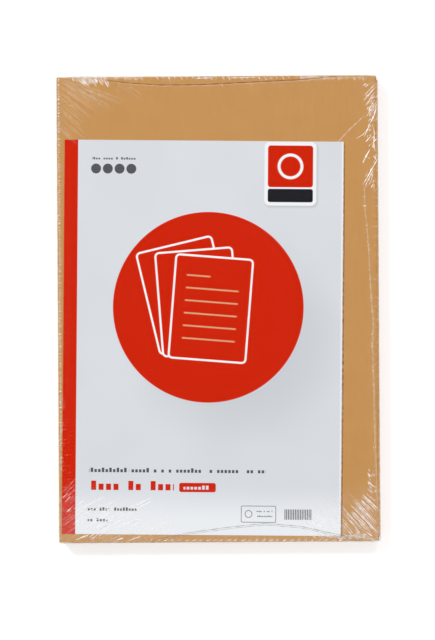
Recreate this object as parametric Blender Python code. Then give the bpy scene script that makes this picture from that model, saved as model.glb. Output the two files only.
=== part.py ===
"""A shrink-wrapped pack of card file folders, lying flat with its front face up.

Each folder is one creased sheet of card: a back, a rounded spine, a front cover on the left fold,
a side flap on the right fold, and a flap at the top and at the foot that lie under the side flap.
The top folder is split at its creases, so that its cover and its three flaps can open. The folders
below it are single folded sheets. A printed sheet lies loose under the clear film.

X runs along the width, Y along the height of the pages, Z up. The origin is the middle of the
underside.
"""
from math import cos, pi, sin, tan, radians

import bmesh
import bpy
from mathutils import Matrix, Vector

# The folder, folded shut. Width runs from the spine fold to the side fold.
FOLDER_COUNT = 10
FOLDER_WIDTH = 0.240
FOLDER_HEIGHT = 0.350
CARD = 0.0004
AIR = 0.00005
COVER_SHORT = 0.0010

# The flaps. Their ends are mitred, so that all of them can swing up together.
SIDE_FLAP_DEPTH = 0.110
SIDE_FLAP_INSET = 0.0030
SIDE_FLAP_TAPER = 0.0060
END_FLAP_DEPTH = 0.062
END_FLAP_INSET = 0.0060
END_FLAP_MITRE = radians(46.0)
FLAP_CORNER = 0.0060
FLAP_CORNER_STEPS = 5

# The creases. A sheet bends round half a turn, and the split ones keep a hair's breadth apart.
BEND_STEPS = 8
CREASE_GAP = 0.00005

# The stack is not quite square: each folder slips a little sideways from the one above.
STAGGER = 0.00025
STAGGER_TURNS = 4

# The loose printed sheet: its size, its turn, and how near it has slipped to the spine and the foot.
INSERT_WIDTH = 0.210
INSERT_HEIGHT = 0.297
INSERT_THICKNESS = 0.00012
INSERT_TO_SPINE = 0.0008
INSERT_TO_FOOT = 0.0035
INSERT_TURN = radians(0.8)

# The film, slit on three sides just below the top folder.
FILM = 0.00005
FILM_SLACK = 0.00030
FILM_CORNER = 0.0010
FILM_CORNER_STEPS = 3
FILM_HINGE_INSET = 0.0015
SLIT_WIDTH = 0.00020
SLIT_DROP = 0.00025

# The welded seams of the film, pulled round onto the front as the film shrank.
# Each point is its place along that side of the pack, then how far in from the film's edge it lies.
SEAM_RADIUS = 0.00025
SEAM_ROUND_STEPS = 2
SEAM_STEPS = 4
TOP_SEAM = (
    (-0.0835, 0.0032), (-0.0650, 0.0053), (-0.0430, 0.0070), (-0.0130, 0.0069),
    (0.0250, 0.0052), (0.0620, 0.0036), (0.0900, 0.0014),
)
RIGHT_SEAM = (
    (0.1120, 0.0014), (0.1020, 0.0062), (0.0925, 0.0121), (0.0890, 0.0102), (0.0767, 0.0105),
    (0.0686, 0.0094), (0.0438, 0.0073), (0.0174, 0.0063), (-0.0127, 0.0043), (-0.0278, 0.0052),
    (-0.0540, 0.0045), (-0.1140, 0.0034), (-0.1505, 0.0021),
)
BOTTOM_SEAM = (
    (-0.0520, 0.0015), (-0.0250, 0.0076), (0.0080, 0.0119), (0.0340, 0.0144),
    (0.0600, 0.0123), (0.0900, 0.0054), (0.1070, 0.0014),
)

# Levels of the layers in a closed folder, counted up from its back.
END_FLAP_LEVEL = 1
SIDE_FLAP_LEVEL = 2
COVER_LEVEL = 3
LEVELS = 4

PITCH = CARD + AIR
SPINE_RADIUS = COVER_LEVEL * PITCH / 2
SIDE_RADIUS = SIDE_FLAP_LEVEL * PITCH / 2
END_RADIUS = END_FLAP_LEVEL * PITCH / 2

# The fold lines, set so that the wrapped pack is centred on the origin.
OFF_CENTRE = (SPINE_RADIUS - SIDE_RADIUS) / 2
SPINE_X = OFF_CENTRE - FOLDER_WIDTH / 2
SIDE_X = OFF_CENTRE + FOLDER_WIDTH / 2
END_Y = FOLDER_HEIGHT / 2

# Heights of the top folder, and of everything that is set by it.
STACK_BASE = FILM + AIR + CARD / 2
TOP_BACK_Z = STACK_BASE + (FOLDER_COUNT - 1) * LEVELS * PITCH
COVER_Z = TOP_BACK_Z + COVER_LEVEL * PITCH
INSERT_Z = COVER_Z + CARD / 2 + AIR + INSERT_THICKNESS / 2
FILM_TOP = INSERT_Z + INSERT_THICKNESS / 2 + FILM_SLACK + FILM
COVER_AXIS = Vector((SPINE_X, 0, TOP_BACK_Z + SPINE_RADIUS))
SIDE_AXIS = Vector((SIDE_X, 0, TOP_BACK_Z + SIDE_RADIUS))
TOP_AXIS = Vector((0, END_Y, TOP_BACK_Z + END_RADIUS))
BOTTOM_AXIS = Vector((0, -END_Y, TOP_BACK_Z + END_RADIUS))

# Half sizes of the film, measured to the middle of its thickness.
FILM_HALF_X = (FOLDER_WIDTH + SPINE_RADIUS + SIDE_RADIUS + CARD + FILM) / 2 + STAGGER + FILM_SLACK
FILM_HALF_Y = END_Y + END_RADIUS + (CARD + FILM) / 2 + STAGGER + FILM_SLACK

# With the cover laid open, its film faces down. The slit lies below that.
OPEN_FILM_Z = 2 * COVER_AXIS.z - FILM_TOP
SLIT_TOP = OPEN_FILM_Z - SLIT_DROP
SLIT_FOOT = SLIT_TOP - SLIT_WIDTH
FILM_HINGE_X = SPINE_X + FILM_HINGE_INSET
SEAM_Z = FILM_TOP + AIR + SEAM_RADIUS

# name: colour, roughness, opacity
FINISHES = {
    "chamois_card": ((0.590, 0.314, 0.117), 0.75, 1.0),
    "insert_paper": ((0.730, 0.760, 0.800), 0.45, 1.0),
    "clear_film": ((0.900, 0.920, 0.940), 0.08, 0.18),
}


def finish(name):
    """Return the material of this name, made from the table of finishes."""
    material = bpy.data.materials.get(name)
    if material is None:
        colour, roughness, opacity = FINISHES[name]
        material = bpy.data.materials.new(name)
        material.use_nodes = True
        shader = material.node_tree.nodes["Principled BSDF"]
        shader.inputs["Base Color"].default_value = (*colour, 1.0)
        shader.inputs["Roughness"].default_value = roughness
        shader.inputs["Metallic"].default_value = 0.0
        shader.inputs["Alpha"].default_value = opacity
    return material


def add_piece(name, bm, material, thickness=None):
    """Turn a bmesh into an object. A bare surface is given its thickness, half on each side."""
    mesh = bpy.data.meshes.new(name)
    bm.to_mesh(mesh)
    bm.free()
    mesh.materials.append(finish(material))
    piece = bpy.data.objects.new(name, mesh)
    bpy.context.collection.objects.link(piece)
    if thickness is not None:
        sheet = piece.modifiers.new("sheet", "SOLIDIFY")
        sheet.thickness = thickness
        sheet.offset = 0.0
        sheet.use_even_offset = True
        sheet.use_quality_normals = True
    return piece


def add_pivot(name, axis_point):
    """Add an empty on a crease, for the pieces that turn about it."""
    pivot = bpy.data.objects.new(name, None)
    pivot.location = axis_point
    pivot.empty_display_size = 0.02
    bpy.context.collection.objects.link(pivot)
    return pivot


def hang_on(piece, pivot):
    """Hang a piece on its pivot, with the piece's origin on the crease."""
    piece.data.transform(Matrix.Translation(-pivot.location))
    piece.parent = pivot


def edge_between(bm, first, second):
    """Find the edge of the sheet that joins two points."""
    for edge in bm.edges:
        ends = [vertex.co for vertex in edge.verts]
        reach = min(
            (ends[0] - first).length + (ends[1] - second).length,
            (ends[1] - first).length + (ends[0] - second).length,
        )
        if reach < AIR / 10:
            return edge
    raise ValueError("no edge between these points")


def round_corners(bm, corners, radius):
    """Round the free corners of a flap."""
    bmesh.ops.bevel(
        bm, geom=corners, offset=radius, offset_type="OFFSET",
        segments=FLAP_CORNER_STEPS, profile=0.5, affect="VERTICES",
    )


def draw_flap(bm, root_edge, reach, taper, corner):
    """Run a flap out from an edge, narrower towards its free end, and round its corners."""
    extruded = bmesh.ops.extrude_edge_only(bm, edges=[root_edge])["geom"]
    tips = [item for item in extruded if isinstance(item, bmesh.types.BMVert)]
    middle = (tips[0].co + tips[1].co) / 2
    for tip in tips:
        tip.co += (middle - tip.co).normalized() * taper + reach
    if corner > 0:
        round_corners(bm, tips, corner)


def bend(bm, root_edge, axis_point, axis):
    """Take an edge half a turn round a crease and return the edge where the bend ends."""
    turned = bmesh.ops.spin(
        bm, geom=[root_edge, *root_edge.verts], cent=axis_point, axis=axis,
        angle=pi, steps=BEND_STEPS, use_duplicate=False,
    )
    return next(item for item in turned["geom_last"] if isinstance(item, bmesh.types.BMEdge))


def end_flap_span():
    """Return the x of the two ends of the top and foot creases."""
    return SPINE_X + END_FLAP_INSET, SIDE_X - END_FLAP_INSET


def back_sheet(bm, back_z):
    """Draw the back panel, with a point wherever a crease starts or ends."""
    left, right = end_flap_span()
    side_end = END_Y - SIDE_FLAP_INSET
    outline = [
        (SPINE_X, -END_Y), (left, -END_Y), (right, -END_Y), (SIDE_X, -END_Y),
        (SIDE_X, -side_end), (SIDE_X, side_end),
        (SIDE_X, END_Y), (right, END_Y), (left, END_Y), (SPINE_X, END_Y),
    ]
    bm.faces.new([bm.verts.new((x, y, back_z)) for x, y in outline])


def end_flap_taper():
    """Return how much an end flap narrows at each end, from its mitre."""
    return END_FLAP_DEPTH * tan(END_FLAP_MITRE)


def folded_folder(back_z):
    """Fold a whole folder from one sheet: spine and cover, side flap, top and foot flaps."""
    bm = bmesh.new()
    back_sheet(bm, back_z)
    left, right = end_flap_span()
    side_end = END_Y - SIDE_FLAP_INSET
    spine_z = back_z + SPINE_RADIUS
    side_z = back_z + SIDE_RADIUS
    end_z = back_z + END_RADIUS

    spine = edge_between(bm, Vector((SPINE_X, -END_Y, back_z)), Vector((SPINE_X, END_Y, back_z)))
    side = edge_between(bm, Vector((SIDE_X, -side_end, back_z)), Vector((SIDE_X, side_end, back_z)))
    top = edge_between(bm, Vector((left, END_Y, back_z)), Vector((right, END_Y, back_z)))
    foot = edge_between(bm, Vector((left, -END_Y, back_z)), Vector((right, -END_Y, back_z)))

    cover_root = bend(bm, spine, (SPINE_X, 0, spine_z), (0, 1, 0))
    side_root = bend(bm, side, (SIDE_X, 0, side_z), (0, -1, 0))
    top_root = bend(bm, top, (0, END_Y, end_z), (1, 0, 0))
    foot_root = bend(bm, foot, (0, -END_Y, end_z), (-1, 0, 0))

    draw_flap(bm, cover_root, Vector((FOLDER_WIDTH - COVER_SHORT, 0, 0)), 0, 0)
    draw_flap(bm, side_root, Vector((-SIDE_FLAP_DEPTH, 0, 0)), SIDE_FLAP_TAPER, FLAP_CORNER)
    draw_flap(bm, top_root, Vector((0, -END_FLAP_DEPTH, 0)), end_flap_taper(), FLAP_CORNER)
    draw_flap(bm, foot_root, Vector((0, END_FLAP_DEPTH, 0)), end_flap_taper(), FLAP_CORNER)
    bmesh.ops.recalc_face_normals(bm, faces=bm.faces)
    return bm


def flat_flap(root_start, root_end, reach, taper, corner):
    """Draw one flap of the split folder as a flat sheet, a hair's breadth off its crease."""
    bm = bmesh.new()
    step_off = reach.normalized() * CREASE_GAP
    ends = [bm.verts.new(root_start + step_off), bm.verts.new(root_end + step_off)]
    root_edge = bm.edges.new(ends)
    draw_flap(bm, root_edge, reach - step_off, taper, corner)
    bmesh.ops.recalc_face_normals(bm, faces=bm.faces)
    return bm


def crease_strip(radius, span_start, span_end, outward):
    """Make the bent strip of card in a crease: half a ring about the crease, run along it."""
    bm = bmesh.new()
    up = Vector((0, 0, 1))
    outer = radius + CARD / 2
    inner = radius - CARD / 2
    angles = [pi * step / BEND_STEPS - pi / 2 for step in range(BEND_STEPS + 1)]
    ring = [outward * (outer * cos(a)) + up * (outer * sin(a)) for a in angles]
    ring += [outward * (inner * cos(a)) + up * (inner * sin(a)) for a in reversed(angles)]
    section = bm.faces.new([bm.verts.new(span_start + point) for point in ring])
    grown = bmesh.ops.extrude_face_region(bm, geom=[section])["geom"]
    far_end = [item for item in grown if isinstance(item, bmesh.types.BMVert)]
    bmesh.ops.translate(bm, verts=far_end, vec=span_end - span_start)
    bmesh.ops.recalc_face_normals(bm, faces=bm.faces)
    return bm


def build_lower_folders():
    """Stack the folders under the top one, each a single folded sheet."""
    for index in range(1, FOLDER_COUNT):
        back_z = TOP_BACK_Z - index * LEVELS * PITCH
        bm = folded_folder(back_z)
        swing = 2 * pi * STAGGER_TURNS * index / (FOLDER_COUNT - 1)
        slip = Vector((STAGGER * sin(swing), STAGGER * sin(2 * swing), 0))
        bmesh.ops.translate(bm, verts=bm.verts, vec=slip)
        add_piece(f"folder_{index + 1:02d}", bm, "chamois_card", CARD)


def build_top_folder():
    """Build the top folder, split at its creases, and hang what opens on its pivots."""
    left, right = end_flap_span()
    side_end = END_Y - SIDE_FLAP_INSET
    cover_reach = Vector((FOLDER_WIDTH - COVER_SHORT, 0, 0))
    cover_pivot = add_pivot("cover_pivot", COVER_AXIS)
    side_pivot = add_pivot("side_pivot", SIDE_AXIS)
    top_pivot = add_pivot("top_pivot", TOP_AXIS)
    bottom_pivot = add_pivot("bottom_pivot", BOTTOM_AXIS)

    bm = bmesh.new()
    back_sheet(bm, TOP_BACK_Z)
    for vertex in bm.verts:
        vertex.co.x -= CREASE_GAP if vertex.co.x > SIDE_X - CREASE_GAP else 0
        vertex.co.x += CREASE_GAP if vertex.co.x < SPINE_X + CREASE_GAP else 0
        vertex.co.y -= CREASE_GAP if vertex.co.y > 0 else -CREASE_GAP
    add_piece("back_panel", bm, "chamois_card", CARD)

    bm = flat_flap(
        Vector((SPINE_X, -END_Y, COVER_Z)), Vector((SPINE_X, END_Y, COVER_Z)), cover_reach, 0, 0,
    )
    hang_on(add_piece("front_cover", bm, "chamois_card", CARD), cover_pivot)

    side_z = TOP_BACK_Z + SIDE_FLAP_LEVEL * PITCH
    bm = flat_flap(
        Vector((SIDE_X, -side_end, side_z)), Vector((SIDE_X, side_end, side_z)),
        Vector((-SIDE_FLAP_DEPTH, 0, 0)), SIDE_FLAP_TAPER, FLAP_CORNER,
    )
    hang_on(add_piece("side_flap", bm, "chamois_card", CARD), side_pivot)

    flap_z = TOP_BACK_Z + END_FLAP_LEVEL * PITCH
    for name, end, pivot in (("top_flap", 1, top_pivot), ("bottom_flap", -1, bottom_pivot)):
        bm = flat_flap(
            Vector((left, end * END_Y, flap_z)), Vector((right, end * END_Y, flap_z)),
            Vector((0, -end * END_FLAP_DEPTH, 0)), end_flap_taper(), FLAP_CORNER,
        )
        hang_on(add_piece(name, bm, "chamois_card", CARD), pivot)

    creases = (
        ("spine_crease", SPINE_RADIUS, COVER_AXIS, Vector((0, END_Y, 0)), Vector((-1, 0, 0))),
        ("side_crease", SIDE_RADIUS, SIDE_AXIS, Vector((0, side_end, 0)), Vector((1, 0, 0))),
    )
    for name, radius, axis_point, half, outward in creases:
        bm = crease_strip(radius, axis_point - half, axis_point + half, outward)
        add_piece(name, bm, "chamois_card")
    for name, axis_point, outward in (
        ("top_crease", TOP_AXIS, Vector((0, 1, 0))),
        ("bottom_crease", BOTTOM_AXIS, Vector((0, -1, 0))),
    ):
        start = Vector((left, axis_point.y, axis_point.z))
        end = Vector((right, axis_point.y, axis_point.z))
        add_piece(name, crease_strip(END_RADIUS, start, end, outward), "chamois_card")
    return cover_pivot


def build_insert(cover_pivot):
    """Lay the loose printed sheet on the cover, slipped to the spine and turned clockwise."""
    bm = bmesh.new()
    bmesh.ops.create_grid(bm, x_segments=1, y_segments=1, size=0.5)
    bmesh.ops.scale(bm, vec=(INSERT_WIDTH, INSERT_HEIGHT, 1), verts=bm.verts)
    bmesh.ops.rotate(bm, verts=bm.verts, matrix=Matrix.Rotation(-INSERT_TURN, 3, "Z"))
    reach_x = (INSERT_WIDTH * cos(INSERT_TURN) + INSERT_HEIGHT * sin(INSERT_TURN)) / 2
    reach_y = (INSERT_HEIGHT * cos(INSERT_TURN) + INSERT_WIDTH * sin(INSERT_TURN)) / 2
    middle_x = SPINE_X + INSERT_TO_SPINE + reach_x
    middle_y = -END_Y + INSERT_TO_FOOT + reach_y
    bmesh.ops.translate(bm, verts=bm.verts, vec=(middle_x, middle_y, INSERT_Z))
    hang_on(add_piece("insert_sheet", bm, "insert_paper", INSERT_THICKNESS), cover_pivot)


def wrapped_film():
    """Make the film as it was shrunk round the pack: a closed box with soft edges."""
    bm = bmesh.new()
    bmesh.ops.create_cube(bm, size=1.0)
    height = FILM_TOP - FILM
    bmesh.ops.scale(bm, vec=(2 * FILM_HALF_X, 2 * FILM_HALF_Y, height), verts=bm.verts)
    bmesh.ops.translate(bm, verts=bm.verts, vec=(0, 0, FILM_TOP / 2))
    bmesh.ops.bevel(
        bm, geom=bm.edges[:], offset=FILM_CORNER, offset_type="OFFSET",
        segments=FILM_CORNER_STEPS, profile=0.5, affect="EDGES",
    )
    return bm


def keep_side(bm, point, normal):
    """Cut the film with a plane and throw away the side that the normal points to."""
    everything = bm.verts[:] + bm.edges[:] + bm.faces[:]
    bmesh.ops.bisect_plane(
        bm, geom=everything, dist=AIR / 100, plane_co=point, plane_no=normal, clear_outer=True,
    )


def build_film(cover_pivot):
    """Cut the wrapped film into its back, its front and the strip that bends at the spine."""
    bm = wrapped_film()
    keep_side(bm, (0, 0, SLIT_FOOT), (0, 0, 1))
    add_piece("film_back", bm, "clear_film", FILM)

    bm = wrapped_film()
    keep_side(bm, (0, 0, SLIT_TOP), (0, 0, -1))
    keep_side(bm, (FILM_HINGE_X + CREASE_GAP / 2, 0, 0), (-1, 0, 0))
    hang_on(add_piece("film_front", bm, "clear_film", FILM), cover_pivot)

    bm = wrapped_film()
    keep_side(bm, (0, 0, SLIT_TOP), (0, 0, -1))
    keep_side(bm, (FILM_HINGE_X - CREASE_GAP / 2, 0, 0), (1, 0, 0))
    add_piece("film_left_fold", bm, "clear_film", FILM)


def build_seam(name, route, cover_pivot):
    """Lay a welded seam on the front of the film, as a thin round bead along its route."""
    curve = bpy.data.curves.new(name, "CURVE")
    curve.dimensions = "3D"
    curve.bevel_depth = SEAM_RADIUS
    curve.bevel_resolution = SEAM_ROUND_STEPS
    curve.resolution_u = SEAM_STEPS
    curve.use_fill_caps = True
    spline = curve.splines.new("BEZIER")
    spline.bezier_points.add(len(route) - 1)
    for point, place in zip(spline.bezier_points, route):
        point.co = place
        point.handle_left_type = "AUTO"
        point.handle_right_type = "AUTO"
    curve.materials.append(finish("clear_film"))
    seam = bpy.data.objects.new(name, curve)
    bpy.context.collection.objects.link(seam)
    hang_on(seam, cover_pivot)


def build_seams(cover_pivot):
    """Run the seams along the top, the right side and the foot of the front."""
    top = [Vector((along, FILM_HALF_Y - inset, SEAM_Z)) for along, inset in TOP_SEAM]
    right = [Vector((FILM_HALF_X - inset, along, SEAM_Z)) for along, inset in RIGHT_SEAM]
    bottom = [Vector((along, inset - FILM_HALF_Y, SEAM_Z)) for along, inset in BOTTOM_SEAM]
    build_seam("top_seam", top, cover_pivot)
    build_seam("right_seam", right, cover_pivot)
    build_seam("bottom_seam", bottom, cover_pivot)


def main():
    """Clear the scene and build the pack from the bottom up."""
    for leftover in list(bpy.data.objects):
        bpy.data.objects.remove(leftover, do_unlink=True)
    build_lower_folders()
    cover_pivot = build_top_folder()
    build_insert(cover_pivot)
    build_film(cover_pivot)
    build_seams(cover_pivot)


main()
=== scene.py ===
# %% [markdown]
# # A wrapped pack of card folders
# This notebook dresses a pack of three-flap card folders: ten folders, a loose printed sheet on
# the front, and a clear film shrunk round them all. The solid model comes first and stays as it is.
# Each step then gives one piece its finish, or puts a finer piece in its place.

# %% Load the solid model
from math import cos, hypot, pi, radians, sin

import bpy
import numpy as np
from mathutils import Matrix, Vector


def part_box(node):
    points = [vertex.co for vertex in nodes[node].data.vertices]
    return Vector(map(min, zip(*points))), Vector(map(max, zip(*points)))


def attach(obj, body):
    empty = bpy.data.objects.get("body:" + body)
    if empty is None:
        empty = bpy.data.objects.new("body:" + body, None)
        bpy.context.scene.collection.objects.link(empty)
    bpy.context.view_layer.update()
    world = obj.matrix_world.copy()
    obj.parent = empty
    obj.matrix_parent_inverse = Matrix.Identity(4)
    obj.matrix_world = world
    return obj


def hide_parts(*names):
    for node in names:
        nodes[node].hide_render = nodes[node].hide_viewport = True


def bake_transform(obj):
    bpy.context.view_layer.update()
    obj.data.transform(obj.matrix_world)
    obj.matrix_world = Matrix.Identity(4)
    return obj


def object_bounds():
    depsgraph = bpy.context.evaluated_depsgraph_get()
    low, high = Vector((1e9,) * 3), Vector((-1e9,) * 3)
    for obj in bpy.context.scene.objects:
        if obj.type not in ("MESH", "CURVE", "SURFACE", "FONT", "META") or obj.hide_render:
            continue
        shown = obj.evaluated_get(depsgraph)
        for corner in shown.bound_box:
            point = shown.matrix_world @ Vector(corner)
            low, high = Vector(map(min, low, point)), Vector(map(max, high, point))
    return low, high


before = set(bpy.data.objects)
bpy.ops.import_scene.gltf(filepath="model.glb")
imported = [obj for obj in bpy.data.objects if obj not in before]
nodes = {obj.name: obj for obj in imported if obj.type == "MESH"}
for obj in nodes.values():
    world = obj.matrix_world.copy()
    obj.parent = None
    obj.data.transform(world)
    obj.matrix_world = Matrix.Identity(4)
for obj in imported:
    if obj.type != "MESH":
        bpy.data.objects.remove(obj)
solid_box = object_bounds()
MM = 0.001
print("pieces:", len(nodes), "size in mm:", [round(v / MM, 1) for v in solid_box[1] - solid_box[0]])

# %% [markdown]
# ## The camera
# The pack was photographed from straight in front, so the camera looks straight down on it.
# A long lens from two metres keeps all four sides parallel. The picture's scale was measured on
# the printed sheet, which is 210 mm wide, and the pack leans a third of a degree in the frame.

# %% Point the camera
PICTURE_WIDTH = 435
PICTURE_HEIGHT = 640
PIXELS_PER_MM = 1.3285
PICTURE_LEAN = radians(0.36)
PACK_MIDDLE = (218.4, 309.1)
CAMERA_RISE = 2.0


def from_picture(across, down):
    """Turn a place in the picture, in pixels, into a place on the front of the pack, in metres."""
    right = across - PACK_MIDDLE[0]
    up = PACK_MIDDLE[1] - down
    x = (right * cos(PICTURE_LEAN) + up * sin(PICTURE_LEAN)) / PIXELS_PER_MM
    y = (up * cos(PICTURE_LEAN) - right * sin(PICTURE_LEAN)) / PIXELS_PER_MM
    return x * MM, y * MM


lens = bpy.data.cameras.new("camera")
lens.sensor_fit = "AUTO"
lens.sensor_width = 36.0
lens.lens = lens.sensor_width * CAMERA_RISE / (PICTURE_HEIGHT / PIXELS_PER_MM * MM)
camera = bpy.data.objects.new("camera", lens)
bpy.context.scene.collection.objects.link(camera)
look_x, look_y = from_picture(PICTURE_WIDTH / 2, PICTURE_HEIGHT / 2)
camera.location = (look_x, look_y, solid_box[1].z + CAMERA_RISE)
camera.rotation_euler = (0, 0, -PICTURE_LEAN)
bpy.context.scene.camera = camera
print("lens in mm:", round(lens.lens, 1))

# %% [markdown]
# ## Tools for the bench
# Blender's operators work on whatever is selected, so the selection is cleared before a new piece.
# A finish is a small network of shader nodes. It is built one node at a time, and each node is
# given its inputs as it is made: a number, a colour, or a wire from another node.

# %% Helpers for pieces and for shader nodes
def clear_selection():
    """Leave nothing selected and nothing active."""
    for thing in bpy.context.selected_objects:
        thing.select_set(False)
    bpy.context.view_layer.objects.active = None


def paint(piece, material):
    """Give a piece one material all over."""
    piece.data.materials.clear()
    piece.data.materials.append(material)


def feed(made, **values):
    """Give a node its inputs, by name or as i0, i1 and so on. A socket is linked, a value is set."""
    for label, value in values.items():
        socket = made.inputs[int(label[1:])] if label[1:].isdigit() else made.inputs[label.replace("_", " ")]
        if isinstance(value, bpy.types.NodeSocket):
            made.id_data.links.new(value, socket)
        else:
            socket.default_value = value
    return made


def node(tree, kind, settings=None, **values):
    """Add a node to a tree. Settings are its options, and the values go to its inputs."""
    made = tree.nodes.new(kind)
    for option, choice in (settings or {}).items():
        setattr(made, option, choice)
    return feed(made, **values)


def maths(operation, *values):
    """Add a Math node beside the nodes that it works on, and return what comes out of it."""
    tree = next(value.id_data for value in values if isinstance(value, bpy.types.NodeSocket))
    inputs = {f"i{number}": value for number, value in enumerate((*values, 0.0, 0.0)[:3])}
    return node(tree, "ShaderNodeMath", {"operation": operation}, **inputs).outputs[0]


def times(first, second):
    """Multiply two values."""
    return maths("MULTIPLY", first, second)


def fade(value, low, high, to_low=0.0, to_high=1.0, smooth=True):
    """Turn a value between low and high into one between to_low and to_high."""
    return node(
        value.id_data, "ShaderNodeMapRange", {"interpolation_type": "SMOOTHSTEP" if smooth else "LINEAR"},
        Value=value, From_Min=low, From_Max=high, To_Min=to_low, To_Max=to_high,
    ).outputs["Result"]


# %% [markdown]
# ## Floor, room and lamps
# The pack lies on a plain pale floor in a white room. The floor is a real surface, so it still
# catches the pack's shadow; a little of its own light lifts it to white where no shadow falls.
# The room is white to the camera, and to rays that were reflected on the way, but it lights the
# pack only gently.

# %% Lay the floor
FLOOR_DROP = 0.0001
FLOOR_GLOW = 0.46

clear_selection()
bpy.ops.mesh.primitive_grid_add(x_subdivisions=8, y_subdivisions=8, size=24, location=(0, 0, -FLOOR_DROP))
floor = bpy.context.active_object
floor.name = "floor"
bpy.ops.object.transform_apply(location=True, rotation=True, scale=True)
clear_selection()


def is_seen(tree):
    """Return 1 for rays that end at the camera, straight or by a reflection, and 0 for lighting."""
    rays = node(tree, "ShaderNodeLightPath").outputs
    straight = maths("MAXIMUM", rays["Is Camera Ray"], rays["Is Glossy Ray"])
    return maths("MAXIMUM", straight, rays["Is Transmission Ray"])


floor_paint = bpy.data.materials.new("floor_paint")
floor_paint.use_nodes = True
tree = floor_paint.node_tree
tree.nodes.clear()
matt = node(tree, "ShaderNodeBsdfDiffuse", Color=(0.86, 0.86, 0.87, 1))
glow = node(tree, "ShaderNodeEmission", Color=(1, 1, 1, 1), Strength=times(is_seen(tree), FLOOR_GLOW))
both = node(tree, "ShaderNodeAddShader", i0=matt.outputs[0], i1=glow.outputs[0])
node(tree, "ShaderNodeOutputMaterial", Surface=both.outputs[0])
paint(floor, floor_paint)
print("floor paint:", len(tree.nodes), "nodes")

# %% Light the room
ROOM_LIGHT = 0.48
room = bpy.data.worlds.new("room")
room.use_nodes = True
bpy.context.scene.world = room
tree = room.node_tree
tree.nodes.clear()
strength = fade(is_seen(tree), 0.0, 1.0, ROOM_LIGHT, 1.0, smooth=False)
walls = node(tree, "ShaderNodeBackground", Color=(1, 1, 1, 1), Strength=strength)
node(tree, "ShaderNodeOutputWorld", Surface=walls.outputs[0])

for name, place, size, watts in (
    ("main_lamp", (-2.0, 2.0, 3.3), 0.60, 68),
    ("head_lamp", (0.9, 3.2, 2.6), 0.50, 22),
    ("side_lamp", (2.6, -1.3, 2.6), 0.50, 20),
):
    data = bpy.data.lights.new(name, "AREA")
    data.shape = "SQUARE"
    data.size = size
    data.energy = watts
    lamp = bpy.data.objects.new(name, data)
    bpy.context.scene.collection.objects.link(lamp)
    lamp.location = place
    lamp.rotation_mode = "QUATERNION"
    lamp.rotation_quaternion = Vector(place).to_track_quat("Z", "Y")
bpy.context.scene.view_settings.view_transform = "Standard"

# %% [markdown]
# ## Building finishes
# Some parts of a finish are wanted more than once, such as the fibres of card or the outline of a
# printed box, so each of these is made once as a node group with named inputs and outputs, and
# put into every finish that needs it.

# %% Helpers for sums and places
def plus(first, second):
    """Add two values."""
    return maths("ADD", first, second)


def minus(first, second):
    """Take one value from another."""
    return maths("SUBTRACT", first, second)


def vector_maths(operation, first, second=(0, 0, 0)):
    """Add a Vector Math node and return what comes out of it."""
    made = node(first.id_data, "ShaderNodeVectorMath", {"operation": operation}, i0=first, i1=second)
    return made.outputs["Value"] if operation == "LENGTH" else made.outputs["Vector"]


def split(place):
    """Return how far across, up and forward a place is."""
    return node(place.id_data, "ShaderNodeSeparateXYZ", Vector=place).outputs


def join(across, up):
    """Make a place on the flat."""
    return node(across.id_data, "ShaderNodeCombineXYZ", X=across, Y=up).outputs[0]


def noise(place, scale, detail):
    """Return a cloudy noise, around a half."""
    return node(place.id_data, "ShaderNodeTexNoise", Vector=place, Scale=scale, Detail=detail).outputs["Fac"]


def mix_colours(amount, under, over):
    """Lay one colour over another by an amount, which may change over the surface."""
    tree = next(value.id_data for value in (amount, under, over) if isinstance(value, bpy.types.NodeSocket))
    return node(tree, "ShaderNodeMix", {"data_type": "RGBA"}, i0=amount, i6=under, i7=over).outputs[2]


# %% Helpers for groups and finishes
def piece_place(tree):
    """Return the place on the piece, in metres."""
    return node(tree, "ShaderNodeTexCoord").outputs["Object"]


def new_group(name, outputs, **inputs):
    """Start a node group. Return it, the sockets of what it is given, and the node for its results."""
    group = bpy.data.node_groups.new(name, "ShaderNodeTree")
    for label, value in inputs.items():
        kind = "NodeSocketVector" if isinstance(value, tuple) else "NodeSocketFloat"
        socket = group.interface.new_socket(name=label.replace("_", " "), in_out="INPUT", socket_type=kind)
        socket.default_value = value
    for label in outputs:
        group.interface.new_socket(name=label, in_out="OUTPUT", socket_type="NodeSocketFloat")
    return group, group.nodes.new("NodeGroupInput").outputs, group.nodes.new("NodeGroupOutput")


def use_group(group, place, **values):
    """Put a node group in a finish, at a place, and return what comes out of it."""
    return node(place.id_data, "ShaderNodeGroup", {"node_tree": group}, Place=place, **values).outputs


def new_finish(name, roughness=0.5):
    """Start a finish with a Principled shader, and return its material, tree and shader."""
    material = bpy.data.materials.new(name)
    material.use_nodes = True
    shader = material.node_tree.nodes["Principled BSDF"]
    shader.inputs["Roughness"].default_value = roughness
    return material, material.node_tree, shader


def add_relief(shader, height, strength, distance):
    """Let a height bend the light, as fine roughness does."""
    relief = node(shader.id_data, "ShaderNodeBump", Strength=strength, Distance=distance, Height=height)
    feed(shader, Normal=relief.outputs["Normal"])


def colour(red, green, blue):
    """Turn the red, green and blue of a picture, 0 to 255, into the linear light Blender wants."""
    def straighten(value):
        share = value / 255
        return share / 12.92 if share <= 0.04045 else ((share + 0.055) / 1.055) ** 2.4
    return straighten(red), straighten(green), straighten(blue), 1.0


# %% [markdown]
# ## The card
# Folder card is wood fibre, dyed right through and pressed smooth. From near it shows a soft
# cloudiness about a centimetre wide, fine specks, and fibres that lie mostly one way, because
# the pulp ran along the machine as it dried. Three noises at those three sizes give this better
# than one picture would, and they never repeat. The card is paler and rougher where its edges
# have been cut and handled.

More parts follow.
